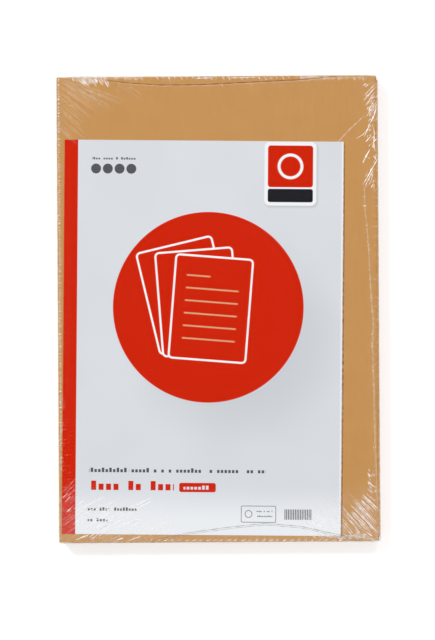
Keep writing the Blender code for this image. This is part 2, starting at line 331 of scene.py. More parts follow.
# %% Card fibres, as a node group
fibre_group, given, result = new_group(
    "card_fibres", ("Shade", "Height"), Place=(0, 0, 0), Cloudiness=0.5, Fibre=0.5,
)
along_fibres = node(
    fibre_group, "ShaderNodeMapping",
    Vector=given["Place"], Scale=(620.0, 95.0, 620.0), Rotation=(0, 0, 0.05),
).outputs["Vector"]
clouds = times(minus(noise(given["Place"], 62.0, 4.0), 0.5), given["Cloudiness"])
fine = plus(times(noise(given["Place"], 1500.0, 2.0), 0.6), times(noise(along_fibres, 1.0, 3.0), 0.9))
shade = plus(plus(clouds, times(minus(fine, 0.75), given["Fibre"])), 0.5)
feed(result, Shade=shade, Height=fine)
print("made", fibre_group.name, "with", len(fibre_group.nodes), "nodes")

# %% The outline of a box, as a node group
# It measures how far each point lies outside a box with rounded corners. Print is drawn with it,
# and so is the wear along the edges of a sheet.
box_group, given, result = new_group(
    "box_outline", ("Outside",),
    Place=(0, 0, 0), Middle=(0, 0, 0), Half_Size=(10, 10, 0), Corner=0.0, Turn=0.0,
)
turned = node(
    box_group, "ShaderNodeVectorRotate", {"rotation_type": "Z_AXIS"},
    Vector=given["Place"], Center=given["Middle"], Angle=given["Turn"],
).outputs["Vector"]
away = vector_maths("ABSOLUTE", vector_maths("SUBTRACT", turned, given["Middle"]))
inner_half = vector_maths("SUBTRACT", given["Half Size"], join(given["Corner"], given["Corner"]))
past_side, past_end = split(vector_maths("SUBTRACT", away, inner_half))[:2]
beyond = vector_maths("LENGTH", vector_maths("MAXIMUM", join(past_side, past_end), (0, 0, 0)))
within = maths("MINIMUM", maths("MAXIMUM", past_side, past_end), 0.0)
feed(result, Outside=minus(plus(beyond, within), given["Corner"]))
print("made", box_group.name, "with", len(box_group.nodes), "nodes")


def outside_box(place, middle, half, corner=0.0, turn=0.0):
    """Return the distance outside a box, which is below nought inside it."""
    made = use_group(box_group, place, Middle=(*middle, 0), Half_Size=(*half, 0), Corner=corner, Turn=turn)
    return made["Outside"]


def inside(outside, soft):
    """Turn the distance outside a shape into 1 inside it and 0 outside, with a soft border."""
    return fade(outside, -soft, soft, 1.0, 0.0)


# %% The card's finish
CARD_LIGHT = colour(212, 161, 99)
CARD_DARK = colour(194, 139, 78)
CARD_WORN = colour(219, 178, 128)
RULE_INK = colour(104, 74, 48)
RULE_GAP = 28.0
CARD_CORNER = 0.0005
WEAR_DEPTH = 0.0009


def make_card(name, ruled=False):
    """Make the finish of dyed card, with pale worn edges."""
    material, tree, shader = new_finish(name)
    place = piece_place(tree)
    grain = use_group(fibre_group, place, Cloudiness=0.40, Fibre=0.60)
    tint = mix_colours(grain["Shade"], CARD_DARK, CARD_LIGHT)
    low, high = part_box("back_panel")
    half = (high - low) / 2
    wear = fade(outside_box(place, (0.0002, 0), (half.x, half.y), CARD_CORNER), -WEAR_DEPTH, 0.0002)
    worn = times(wear, fade(noise(place, 240.0, 3.0), 0.35, 0.7, 0.1, 0.7))
    tint = mix_colours(worn, tint, CARD_WORN)
    if ruled:
        tint = add_ruling(place, tint)
    feed(
        shader, Base_Color=tint, Roughness=fade(grain["Height"], 0.5, 1.0, 0.66, 0.84, smooth=False),
        Specular_IOR_Level=0.15,
    )
    add_relief(shader, grain["Height"], 0.35, 0.00006)
    return material


def add_ruling(place, tint):
    """Print the ten plain index rules on the outside of the side flap."""
    low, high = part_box("side_flap")
    on_flap = node(
        place.id_data, "ShaderNodeMapping", {"vector_type": "TEXTURE"}, Vector=place,
        Location=((low.x + high.x) / 2, 0, high.z), Scale=(MM, MM, MM),
    ).outputs["Vector"]
    across, up, rise = split(on_flap)
    steps = maths("FRACT", plus(maths("DIVIDE", up, RULE_GAP), 20.0))
    off_rule = times(maths("ABSOLUTE", minus(steps, 0.5)), RULE_GAP)
    rule = fade(off_rule, 0.15, 0.40, 1.0, 0.0)
    field = inside(outside_box(join(across, up), (0, 0), (34, 5 * RULE_GAP - 2)), 0.1)
    return mix_colours(times(times(rule, field), fade(rise, -0.10, -0.02)), tint, RULE_INK)


card = make_card("card")
ruled_card = make_card("ruled_card", ruled=True)
card_names = [name for name in nodes if not name.startswith(("film_", "insert_")) and "seam" not in name]
for name in card_names:
    paint(nodes[name], ruled_card if name == "side_flap" else card)
print("card pieces:", len(card_names))

# %% [markdown]
# ## The printed sheet
# A loose sheet of coated paper lies on the front, printed in red, grey and black. The print is
# drawn in the finish instead of with a picture, because shapes that are measured in millimetres
# stay sharp from near. Each shape is a box or a disc laid over the one before, as inks are. The
# sheet's own millimetres start at its middle, and a Mapping node turns the pack's place into
# them. The paper grows paler towards the foot. Where words would be there are plain bars, broken
# up like lines of type.

# %% Places on the sheet
SHEET_TURN = radians(-0.8)
sheet_low, sheet_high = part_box("insert_sheet")
SHEET_MIDDLE = (sheet_low + sheet_high) / 2
PRINT_SOFT = 0.18
PAPER = colour(227, 231, 236)
RED_INK = colour(214, 34, 0)
GREY_INK = colour(88, 90, 96)
BLACK_INK = colour(30, 30, 36)
SHADE_INK = colour(196, 199, 205)
BEIGE_INK = colour(222, 178, 132)
LABEL_WHITE = colour(250, 251, 253)


def ink(under, outside, over, soft=PRINT_SOFT, strength=1.0):
    """Print a shape over what is already there, where its outside distance is below nought."""
    return mix_colours(fade(outside, -soft, soft, strength, 0.0), under, over)


def band(outside, width):
    """Turn the distance outside a shape into the distance outside a line along its outline."""
    return minus(maths("ABSOLUTE", outside), width / 2)


def outside_disc(place, middle, radius):
    """Return the distance outside a disc."""
    return minus(vector_maths("LENGTH", vector_maths("SUBTRACT", place, (*middle, 0))), radius)


# %% Words without letters, as a node group
# Printers stand in for words with plain blocks, one for each letter, before the words are known.
# Random numbers, one for each block, decide which blocks are tall and which are left out, so that
# a row reads as words of many lengths.
type_group, given, result = new_group(
    "line_of_type", ("Ink",), Place=(0, 0, 0), Line=0.0, Half_Height=1.0, Pitch=2.0, Seed=0.0,
)


def chance(number):
    """Return a random value that stays the same for the same number."""
    made = node(number.id_data, "ShaderNodeTexWhiteNoise", {"noise_dimensions": "1D"}, W=number)
    return made.outputs["Value"]


across, up = split(given["Place"])[:2]
steps = maths("DIVIDE", across, given["Pitch"])
block = plus(maths("FLOOR", steps), given["Seed"])
side = fade(maths("ABSOLUTE", minus(maths("FRACT", steps), 0.5)), 0.28, 0.40, 1.0, 0.0)
rise = maths("DIVIDE", minus(up, given["Line"]), given["Half Height"])
under_top = maths("LESS_THAN", rise, fade(chance(block), 0.66, 0.68, 0.35, 1.0))
word = fade(chance(plus(block, 71.0)), 0.15, 0.16)
feed(result, Ink=times(times(side, under_top), word))
print("made", type_group.name, "with", len(type_group.nodes), "nodes")

# %% Start the sheet: paper, stripe, soft shadow and disc
DISC_MIDDLE = (4.1, 23.0)
DISC_RADIUS = 71.8
SHADOW_MIDDLE = (26.0, 0.5)

printed, tree, shader = new_finish("printed_paper", 0.42)
place = node(
    tree, "ShaderNodeMapping", {"vector_type": "TEXTURE"}, Vector=piece_place(tree),
    Location=(SHEET_MIDDLE.x, SHEET_MIDDLE.y, 0), Rotation=(0, 0, SHEET_TURN), Scale=(MM, MM, MM),
).outputs["Vector"]
across, up = split(place)[:2]
on_sheet = join(across, up)
tooth = noise(place, 0.9, 3.0)
sheet_colour = mix_colours(fade(noise(place, 0.02, 1.0), 0.3, 0.7), PAPER, colour(224, 227, 232))
paler_foot = fade(up, -108.0, -142.0)
sheet_colour = mix_colours(paler_foot, sheet_colour, colour(245, 248, 252))
shadow = outside_disc(on_sheet, SHADOW_MIDDLE, DISC_RADIUS - 3)
sheet_colour = ink(sheet_colour, shadow, SHADE_INK, soft=26, strength=0.45)
sheet_colour = ink(sheet_colour, outside_disc(on_sheet, DISC_MIDDLE, DISC_RADIUS), RED_INK)
# Painted highlight: a near-white band along the sheet's right edge, standing for light caught where the edge
# curls up.
curl_highlight = outside_box(on_sheet, (104.7, 0), (0.8, 160))
sheet_colour = ink(sheet_colour, curl_highlight, colour(250, 252, 255), soft=0.4, strength=0.9)
stripe = outside_box(on_sheet, (-105.0, 0), (10.2, 160))
sheet_colour = ink(sheet_colour, stripe, RED_INK)

# %% A stack of pages in white line, on the disc
PAGE_HALF = (29.0, 39.0)
LINE = 1.5
for shift, turn in (((-13.0, 32.0), radians(-14)), ((-4.0, 27.0), radians(-5)), ((6.0, 22.0), radians(4))):
    page = outside_box(on_sheet, shift, PAGE_HALF, 3.0, turn)
    sheet_colour = ink(sheet_colour, page, RED_INK)
    sheet_colour = ink(sheet_colour, band(page, LINE), colour(255, 255, 255))
on_page = node(
    tree, "ShaderNodeMapping", {"vector_type": "TEXTURE"},
    Vector=on_sheet, Location=(*shift, 0), Rotation=(0, 0, -turn),
).outputs["Vector"]
for row in range(6):
    left = -20.0
    right = 20.0 if row else -2.0
    rule = outside_box(on_page, ((left + right) / 2, 24 - 9.5 * row), ((right - left) / 2, 0.55), 0.5)
    sheet_colour = ink(sheet_colour, rule, BEIGE_INK)

# %% The small print
def print_type(under, over, middle, half, pitch, seed):
    """Print one row of blocks in a box of this place and size, in millimetres."""
    row = inside(outside_box(on_sheet, middle, half, 0.3), PRINT_SOFT)
    blocks = use_group(type_group, on_sheet, Line=middle[1], Half_Height=half[1], Pitch=pitch, Seed=seed)
    return mix_colours(times(row, blocks["Ink"]), under, over)


for number in range(4):
    sheet_colour = ink(sheet_colour, outside_disc(on_sheet, (-81.2 + 8.85 * number, 126.9), 3.75), GREY_INK)
for over, middle, half, pitch, seed in (
    (GREY_INK, (-67.7, 134.7), (16.5, 0.9), 1.9, 3), (GREY_INK, (-18.3, -100.0), (66.5, 1.7), 2.8, 40),
    (RED_INK, (-52.7, -111.6), (32.0, 3.5), 5.6, 85), (GREY_INK, (-67.2, -129.4), (18.5, 1.3), 2.2, 120),
    (GREY_INK, (-78.1, -137.5), (7.5, 1.3), 2.4, 160),
):
    sheet_colour = print_type(sheet_colour, over, middle, half, pitch, seed)
sheet_colour = ink(sheet_colour, outside_box(on_sheet, (-3.0, -112.8), (13.8, 3.5), 1.6), RED_INK)
sheet_colour = print_type(sheet_colour, PAPER, (-3.0, -112.8), (10.5, 1.5), 2.9, 203)
mark = outside_box(on_sheet, (43.1, -132.5), (13.0, 6.1), 0.8)
sheet_colour = ink(sheet_colour, band(mark, 0.45), GREY_INK)
for height, seed in ((-130.3, 240), (-134.0, 280)):
    sheet_colour = print_type(sheet_colour, GREY_INK, (47.5, height), (6.0, 0.6), 1.2, seed)
sheet_colour = ink(sheet_colour, band(outside_disc(on_sheet, (35.6, -132.4), 2.6), 0.5), GREY_INK)

# %% Even stripes beside them
comb = maths("ABSOLUTE", minus(maths("FRACT", maths("DIVIDE", across, 1.3)), 0.5))
patch = inside(outside_box(on_sheet, (72.8, -132.6), (10.4, 3.9)), PRINT_SOFT)
sheet_colour = mix_colours(times(fade(comb, 0.20, 0.30, 1.0, 0.0), patch), sheet_colour, BLACK_INK)

# %% The tag in the corner
tag_shade = outside_box(on_sheet, (66.0, 122.9), (19.8, 24.2), 4.5)
sheet_colour = ink(sheet_colour, tag_shade, SHADE_INK, soft=1.6, strength=0.9)
for middle, half, corner, over in (
    ((65.2, 124.0), (19.6, 24.0), 4.0, LABEL_WHITE),
    ((65.2, 129.6), (17.0, 15.7), 2.2, RED_INK),
    ((65.2, 107.6), (17.0, 5.0), 1.6, BLACK_INK),
):
    sheet_colour = ink(sheet_colour, outside_box(on_sheet, middle, half, corner), over)
sheet_colour = ink(sheet_colour, band(outside_disc(on_sheet, (65.2, 129.6), 8.6), 2.2), LABEL_WHITE)

# %% Close the sheet's finish
front = fade(split(piece_place(tree))["Z"], SHEET_MIDDLE.z - 0.00001, SHEET_MIDDLE.z + 0.00001)
feed(
    shader, Base_Color=mix_colours(front, PAPER, sheet_colour), Roughness=fade(tooth, 0.3, 0.7, 0.36, 0.48),
    Specular_IOR_Level=0.03,
)
add_relief(shader, tooth, 0.12, 0.00003)
paint(nodes["insert_sheet"], printed)
print("print:", len(tree.nodes), "nodes")

# %% [markdown]
# ## The film
# Shrink film is a clear plastic sheet a twentieth of a millimetre thick. It is folded round the
# pack, welded on three sides and heated, and it pulls itself tight. Where it can't shrink evenly,
# at the corners and along the edges, it is left with fans of fine pleats. It is nearly invisible
# except for them. So the film is made in three steps: a sheet wrapped round the pack with real
# rounded edges and shallow waves, a finish that streaks along each fan, and the standing pleats
# as thin tapered strips in a near-white finish, whose sharp white lines are painted highlights.

# %% The film's sizes, taken from the solid model
FILM_THICKNESS = 0.00005
EDGE_ROUND = 0.0010
TUCK = 0.00016
PLEAT_ROOM = 0.00022
front_low, front_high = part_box("film_front")
fold_low, fold_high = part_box("film_left_fold")
back_low, back_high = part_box("film_back")
HALF_WIDE = back_high.x
HALF_TALL = back_high.y
FLAT_WIDE = HALF_WIDE - TUCK - EDGE_ROUND
FLAT_TALL = HALF_TALL - TUCK - EDGE_ROUND
FRONT_LEVEL = front_high.z - PLEAT_ROOM
BACK_LEVEL = back_low.z + FILM_THICKNESS / 2
HINGE_LINE = (fold_high.x + front_low.x) / 2
print("film in mm:", round(2 * HALF_WIDE / MM, 1), "by", round(2 * HALF_TALL / MM, 1))


# %% Helpers for thin pieces
def pick(piece):
    """Make one piece the only selected and active one."""
    clear_selection()
    piece.select_set(True)
    bpy.context.view_layer.objects.active = piece


def edit_all(piece, operator, **options):
    """Run one of Blender's mesh operators over the whole of a piece."""
    pick(piece)
    bpy.ops.object.mode_set(mode="EDIT")
    bpy.ops.mesh.select_all(action="SELECT")
    operator(**options)
    bpy.ops.object.mode_set(mode="OBJECT")
    clear_selection()


def add_grid(name, across_steps, up_steps):
    """Add a flat grid. Return the piece, and how far across and up its points lie, from 0 to 1."""
    clear_selection()
    bpy.ops.mesh.primitive_grid_add(x_subdivisions=across_steps, y_subdivisions=up_steps, size=1)
    piece = bpy.context.active_object
    piece.name = name
    grid = np.empty(len(piece.data.vertices) * 3)
    piece.data.vertices.foreach_get("co", grid)
    across, up = grid.reshape(-1, 3)[:, :2].T + 0.5
    return piece, across, up


def move_points(piece, points):
    """Move the points of a piece to new places."""
    piece.data.vertices.foreach_set("co", points.ravel())
    piece.data.update()


def thicken(piece, thickness):
    """Turn a sheet into a thin solid, and round its shading."""
    pick(piece)
    solid = piece.modifiers.new("thickness", "SOLIDIFY")
    solid.thickness = thickness
    solid.offset = 0.0
    bpy.ops.object.modifier_apply(modifier=solid.name)
    bpy.ops.object.shade_smooth()
    clear_selection()


# %% Fold a sheet over four rounded edges
def spaced(*stretches):
    """Make the lines of a grid from stretches, each (from, to, about how far apart), in mm."""
    lines = []
    for start, end, step in stretches:
        lines.extend(np.linspace(start, end, max(int(round((end - start) / step)), 1), endpoint=False))
    return np.array([*lines, stretches[-1][1]]) * MM


def fold_over(flat, level, facing):
    """Fold places on a flat sheet over the pack's edges. Return the points, and the way each faces."""
    across, up = flat[:, 0], flat[:, 1]
    over_x = np.maximum(np.abs(across) - FLAT_WIDE, 0)
    over_y = np.maximum(np.abs(up) - FLAT_TALL, 0)
    over = np.maximum(over_x, over_y)
    share = np.minimum(over_x, over_y) / np.maximum(over, 1e-9)
    compass = np.where(over_x >= over_y, pi / 4 * share, pi / 2 - pi / 4 * share)
    tilt = np.minimum(over / EDGE_ROUND, pi / 2)
    reach = EDGE_ROUND * np.sin(tilt)
    drop = EDGE_ROUND * (1 - np.cos(tilt)) + np.maximum(over - EDGE_ROUND * pi / 2, 0)
    points = np.stack([
        np.sign(across) * (np.minimum(np.abs(across), FLAT_WIDE) + reach * np.cos(compass)),
        np.sign(up) * (np.minimum(np.abs(up), FLAT_TALL) + reach * np.sin(compass)),
        level - facing * drop,
    ], axis=1)
    faces_way = np.stack([
        np.sign(across) * np.sin(tilt) * np.cos(compass),
        np.sign(up) * np.sin(tilt) * np.sin(compass),
        facing * np.cos(tilt),
    ], axis=1)
    return points, faces_way


# %% [markdown]
# ## Where the film is creased
# Each corner has a fan of creases that spread from a point outside the pack. A point of the film
# is described by its angle round that point and its distance from it, so that the finish can draw
# streaks that follow the fan. Along the edges, short creases run straight in from the edge.

# %% Where the fans and the edges are
CORNER_FANS = (
    # the point the fan spreads from, the corner it fills, how far it goes across and up, strength
    ((36.5, 71.3), (57, 76), (88, 56), 0.35),
    ((-17.0, 589.0), (58, 543), (150, 78), 0.45),
    ((520.0, 690.0), (380, 541), (92, 80), 0.60),
    ((250.0, 215.0), (379, 75), (30, 70), 0.45),
)
# In mm. Each fan and each side reads a stretch of the noise of its own, so that no two are alike.
FANS_APART = 400
SIDES_APART = 900
EDGE_DEPTH = 3.2
print("fans:", len(CORNER_FANS))


# %% Fans and edges as places on the film
def smooth_step(value):
    """Ease from 0 to 1."""
    value = np.clip(value, 0, 1)
    return value * value * (3 - 2 * value)


def crease_places(flat):
    """Return the fan's angle and distance and its strength, and the same for the edges, in mm."""
    fan_place = np.zeros((len(flat), 3))
    fan_amount = np.zeros(len(flat))
    for number, (source, corner, reach, strength) in enumerate(CORNER_FANS):
        source_x, source_y = from_picture(*source)
        corner_x, corner_y = from_picture(*corner)
        gone_x = (flat[:, 0] - corner_x) / (reach[0] / PIXELS_PER_MM * MM)
        gone_y = (flat[:, 1] - corner_y) / (reach[1] / PIXELS_PER_MM * MM)
        amount = smooth_step(1.15 - 1.15 * np.hypot(gone_x, gone_y)) * strength
        away = np.hypot(flat[:, 0] - source_x, flat[:, 1] - source_y)
        angle = np.arctan2(flat[:, 1] - source_y, flat[:, 0] - source_x)
        usual = hypot(corner_x - source_x, corner_y - source_y) + 0.03
        here = amount > fan_amount
        along = angle * usual / MM + FANS_APART * number
        fan_place[here] = np.stack([along, away / MM, 0 * away], axis=1)[here]
        fan_amount[here] = amount[here]
    from_side = HALF_WIDE - np.abs(flat[:, 0])
    from_end = HALF_TALL - np.abs(flat[:, 1])
    by_side = from_side < from_end
    inward = np.minimum(from_side, from_end) / MM
    side_start = np.where(by_side, SIDES_APART * (1 + (flat[:, 0] > 0)), 0)
    along = np.where(by_side, flat[:, 1], flat[:, 0]) / MM + side_start
    edge_place = np.stack([along, inward, 0 * inward], axis=1)
    corner_clear = smooth_step((np.maximum(from_side, from_end) / MM - 3) / 6)
    edge_amount = np.exp(-np.maximum(inward, 0) / EDGE_DEPTH) * corner_clear
    return fan_place, fan_amount, edge_place, edge_amount


# %% Wave a sheet and wrap it round the pack
def waves(flat, fan_place, fan_amount, edge_place, edge_amount):
    """Return how far the film stands off its flat place, in metres."""
    x, y = flat[:, 0] / MM, flat[:, 1] / MM
    slack = 0.030 * np.sin(x / 19 + 0.6) * np.sin(y / 31 + 1.1) + 0.015 * np.sin((x + 0.7 * y) / 11)
    fan = fan_place[:, 0] + 1.3 * np.sin(fan_place[:, 1] / 17)
    fans = fan_amount * (0.100 + 0.060 * np.sin(fan * 1.1) + 0.040 * np.sin(fan * 1.9 + fan_place[:, 1] / 23))
    edge = edge_place[:, 0] + 0.2 * edge_place[:, 1]
    ticks = edge_amount * (0.055 * np.sin(edge * 2.0 + 2 * np.sin(edge / 7)) + 0.035 * np.sin(edge * 3.1 + 1))
    return (slack + fans + ticks) * MM


def wrap_sheet(name, across_lines, up_lines, level, facing):
    """Wrap a sheet over the edges, with its waves, and keep what its finish reads at each point.

    Facing is 1 for the front and -1 for the back, which lies flat on the table.
    """
    piece, across, up = add_grid(name, len(across_lines) - 1, len(up_lines) - 1)
    across = across_lines[np.rint(across * (len(across_lines) - 1)).astype(int)]
    up = up_lines[np.rint(up * (len(up_lines) - 1)).astype(int)]
    flat = np.stack([across, up], axis=1)
    points, faces_way = fold_over(flat, level, facing)
    places = crease_places(flat)
    points += faces_way * waves(flat, *places)[:, None]
    if facing < 0:
        points[:, 2] = np.maximum(points[:, 2], level)
    for label, values in zip(("fan_place", "fan_amount", "edge_place", "edge_amount"), places):
        kind, field = ("FLOAT_VECTOR", "vector") if values.ndim == 2 else ("FLOAT", "value")
        stored_values = piece.data.attributes.new(label, kind, "POINT").data
        stored_values.foreach_set(field, values.astype(np.float32).ravel())
    move_points(piece, points)
    return piece


# %% Make the front of the film
side_flat = FLAT_WIDE / MM
end_flat = FLAT_TALL / MM
skirt = ((front_high.z - front_low.z) - PLEAT_ROOM - EDGE_ROUND + EDGE_ROUND * pi / 2) / MM
across_lines = spaced(
    (-side_flat - skirt, -side_flat, 0.45), (-side_flat, -105, 0.8), (-105, -45, 1.1), (-45, 75, 3.0),
    (75, 100, 1.2), (100, side_flat, 0.65), (side_flat, side_flat + skirt, 0.45),
)
up_lines = spaced(
    (-end_flat - skirt, -end_flat, 0.45), (-end_flat, -160, 0.65), (-160, -120, 1.0), (-120, 100, 2.2),
    (100, 150, 1.1), (150, 165, 0.9), (165, end_flat, 0.65), (end_flat, end_flat + skirt, 0.45),
)
front_film = wrap_sheet("film_web", across_lines, up_lines, FRONT_LEVEL, 1)
left_film = front_film.copy()
left_film.data = front_film.data.copy()
left_film.name = "film_fold"
bpy.context.scene.collection.objects.link(left_film)
for piece, side in ((front_film, 1), (left_film, -1)):
    cut = HINGE_LINE + side * FILM_THICKNESS / 2
    edit_all(
        piece, bpy.ops.mesh.bisect, plane_co=(cut, 0, 0), plane_no=(1, 0, 0),
        clear_inner=side > 0, clear_outer=side < 0,
    )
    thicken(piece, FILM_THICKNESS)
print("front of the film:", len(front_film.data.polygons), "faces; left fold:", len(left_film.data.polygons))

# %% Make the back of the film
bend = EDGE_ROUND * pi / 2 / MM
wall = (back_high.z - BACK_LEVEL - EDGE_ROUND + EDGE_ROUND * pi / 2) / MM


def tray_lines(flat, middle, fine, coarse):
    """Make the lines across the back of the film, close together near the edges of its flat part."""
    return spaced(
        (-flat - wall, -flat - bend, 1.2), (-flat - bend, -flat, 0.4), (-flat, -middle, fine),
        (-middle, middle, coarse),
        (middle, flat, fine), (flat, flat + bend, 0.4), (flat + bend, flat + wall, 1.2),
    )


across_lines = tray_lines(side_flat, 100, 1.6, 4.0)
up_lines = tray_lines(end_flat, 150, 1.4, 3.0)
back_film = wrap_sheet("film_tray", across_lines, up_lines, BACK_LEVEL, -1)
edit_all(back_film, bpy.ops.mesh.flip_normals)
thicken(back_film, FILM_THICKNESS)
print("back of the film:", len(back_film.data.polygons), "faces")

# %% [markdown]
# ## Standing pleats
# A crease in shrunk film is a thin ridge of doubled plastic, less than a millimetre wide. It
# catches the light as a sharp white line, sharper than a streak in a finish could be. So each of
# the bold ones is a strand of its own: a low three-sided ridge swept along a line on the film and
# drawn out to nothing at both ends. A curve with a profile does this, since each of its points
# can have its own width. Pleats that run together in a corner are laid out as a fan. A ray of
# light passes through only a few clear layers, so pleats are never piled more than a few deep.
# The bright strands are near white and nearly opaque, so their white lines are painted
# highlights; the faint ones are a painted sheen and the dark ones painted shade.

# %% How a strand is laid
THINNEST = 0.10


def lay_on_film(flat, lift):
    """Place points on the waved front of the film, a little above it."""
    points, faces_way = fold_over(flat, FRONT_LEVEL, 1)
    return points + faces_way * (waves(flat, *crease_places(flat)) + lift)[:, None]


def reach_of(corners):
    """Return how far along a line each of its corners is."""
    return np.concatenate([[0], np.cumsum(np.hypot(*np.diff(corners, axis=0).T))])


def follow(corners, along):
    """Return the places that are so far along a line."""
    gone = reach_of(corners)
    return np.stack([np.interp(along, gone, corners[:, 0]), np.interp(along, gone, corners[:, 1])], axis=-1)


def add_profile(half_width, height):
    """Make the outline that is swept: a low ridge with a sharp top."""
    data = bpy.data.curves.new("profile", "CURVE")
    data.dimensions = "2D"
    outline = data.splines.new("POLY")
    outline.points.add(2)
    for point, place in zip(outline.points, ((-half_width, 0), (half_width, 0), (0, height))):
        point.co = (*place, 0, 1)
    outline.use_cyclic_u = True
    profile = bpy.data.objects.new("profile", data)
    bpy.context.scene.collection.objects.link(profile)
    return profile


def draw_strands(
    name, strands, height=0.22, step=0.7, lift=0.02, seed=1, soften=0, wander=0.0, taper=0.6, on_fold=False,
):
    """Sweep ridges along strands, each (places in the picture, width in mm), as one piece.

    A piece lies either on the front of the film or on its left fold, which bend apart, so only the
    points on that side of the fold's line are swept.
    """
    dice = np.random.default_rng(seed)
    profile = add_profile(0.5 * MM, height * MM)
    data = bpy.data.curves.new(name, "CURVE")
    data.dimensions = "3D"
    data.twist_mode = "Z_UP"
    data.bevel_mode = "OBJECT"
    data.bevel_object = profile
    data.use_fill_caps = True
    for places, width in strands:
        corners = np.array([from_picture(*place) for place in places])
        length = reach_of(corners)[-1]
        count = max(int(length / MM / step), 4) + 1
        along = np.linspace(0, length, count)
        flat = follow(corners, along)
        for again in range(soften):
            flat[1:-1] = (flat[:-2] + flat[2:]) / 2
        flat[1:-1] += dice.normal(0, wander * MM, (count - 2, 2)) if wander else 0
        points = lay_on_film(flat, lift * MM)
        thin = THINNEST + (1 - THINNEST) * np.maximum(np.sin(pi * along / length), 0.0) ** taper
        uneven = 1 + 0.3 * np.sin(along / MM * dice.uniform(0.6, 1.4) + dice.uniform(0, 6))
        here = (flat[:, 0] < HINGE_LINE) == on_fold
        if here.sum() < 3:
            continue
        spline = data.splines.new("POLY")
        spline.use_smooth = False
        spline.points.add(int(here.sum()) - 1)
        spline.points.foreach_set("co", np.column_stack([points, np.ones(count)])[here].ravel())
        spline.points.foreach_set("radius", (width * thin * uneven)[here])
    piece = bpy.data.objects.new(name, data)
    bpy.context.scene.collection.objects.link(piece)
    pick(piece)
    bpy.ops.object.convert(target="MESH")
    piece = bpy.context.active_object
    edit_all(piece, bpy.ops.mesh.normals_make_consistent, inside=False)
    bpy.data.objects.remove(profile)
    print(name, len(strands), "strands,", len(piece.data.polygons), "faces")
    return piece


# %% Ways to lay many strands
def lines(*rows):
    """Turn rows of numbers, each a width and then the places along a pleat, into strands."""
    return [(list(zip(row[1::2], row[2::2])), row[0]) for row in rows]


def fan(first, last, count, width, seed, begin=(0.0, 0.25), reach=(0.45, 1.0)):
    """Lay strands side by side. First and last are the two ends of the outer two, in pixels."""
    dice = np.random.default_rng(seed)
    first = np.reshape(first, (2, 2))
    last = np.reshape(last, (2, 2))
    strands = []
    for number in range(count):
        share = (number + dice.uniform(0.1, 0.9)) / count
        start, end = first + (last - first) * share
        from_share = dice.uniform(*begin)
        to_share = dice.uniform(*reach)
        line = [start + (end - start) * part for part in (from_share, (from_share + to_share) / 2, to_share)]
        line[1] = line[1] + dice.uniform(-0.5, 0.5, 2)
        strands.append((line, width * dice.uniform(0.6, 1.3)))
    return strands


def scatter(middle, spread, count, lengths, angles, width, seed):
    """Lay short strands at random about a place. Angles are in degrees, with 90 straight down."""
    dice = np.random.default_rng(seed)
    strands = []
    for number in range(count):
        across = middle[0] + dice.uniform(-1, 1) * spread[0]
        down = middle[1] + dice.uniform(-1, 1) * spread[1]
        angle = radians(dice.uniform(*angles))
        half = dice.uniform(*lengths) / 2
        ends = [(across + side * half * cos(angle), down + side * half * sin(angle)) for side in (-1, 1)]
        strands.append((ends, width * dice.uniform(0.6, 1.3)))
    return strands


# %% Bright pleats in the upper corners: near-white strips, painted highlights
upper_glints = draw_strands("upper_glints", [
    *lines(
        (0.6, 362.7, 86.2, 366.2, 83.1), (0.5, 365.4, 86.9, 369.2, 83.1),
        (0.5, 363.8, 100.4, 371, 92, 376.2, 86.2), (0.4, 364.6, 95, 375.4, 83.8),
        (0.7, 375.4, 75.4, 378.5, 79.2), (0.6, 377, 94, 378.5, 98.5),
        (0.5, 370.8, 99.2, 374.6, 96.2), (0.5, 370, 110.8, 372.3, 110),
        (0.7, 376, 104, 376, 109, 373, 118.5, 370, 123), (0.6, 370, 123, 367.7, 129.2, 364.2, 137),
        (0.6, 372.3, 123.8, 374.6, 133, 373.8, 143, 375.4, 152.3),
        (0.4, 367.7, 128.5, 363, 134.6, 356.2, 138.5), (0.5, 365.4, 142.3, 371.5, 135.4),
        (0.5, 372.3, 143, 377, 138.5),
        (0.9, 370, 149.2, 366.2, 156.2, 362.7, 163), (0.6, 373.1, 155.4, 376.2, 159.2),
        (0.6, 376.2, 153.1, 375.4, 160), (0.6, 368.5, 158, 370, 158), (0.7, 378, 158, 371, 171, 364, 183),
        (0.4, 374.5, 168, 369, 178, 365.5, 185), (0.4, 373.5, 172, 371.5, 180, 369, 185),
        (0.8, 363.5, 206, 366.5, 205.5),
    ),
    *fan((72, 76, 84, 86), (106, 76, 112, 88), 12, 0.6, 4, reach=(0.4, 1.0)),
    *fan((358, 112, 375, 84), (368, 122, 378, 104), 8, 0.3, 19, (0.0, 0.6), (0.7, 1.0)),
    *lines((0.5, 195, 78.5, 214, 77.5), (0.4, 226, 78, 258, 77), (0.4, 300, 77, 318, 76.5)),
    *scatter((371.5, 106), (5.5, 14), 18, (2, 5), (110, 160), 0.34, 32),
    *scatter((371, 138), (5, 14), 15, (2, 5), (100, 170), 0.34, 33),
    *scatter((370, 178), (4, 10), 10, (3, 7), (95, 125), 0.38, 34),
    *scatter((90, 80), (17, 3.5), 20, (2, 5), (20, 60), 0.45, 35),
], seed=5, height=0.14)
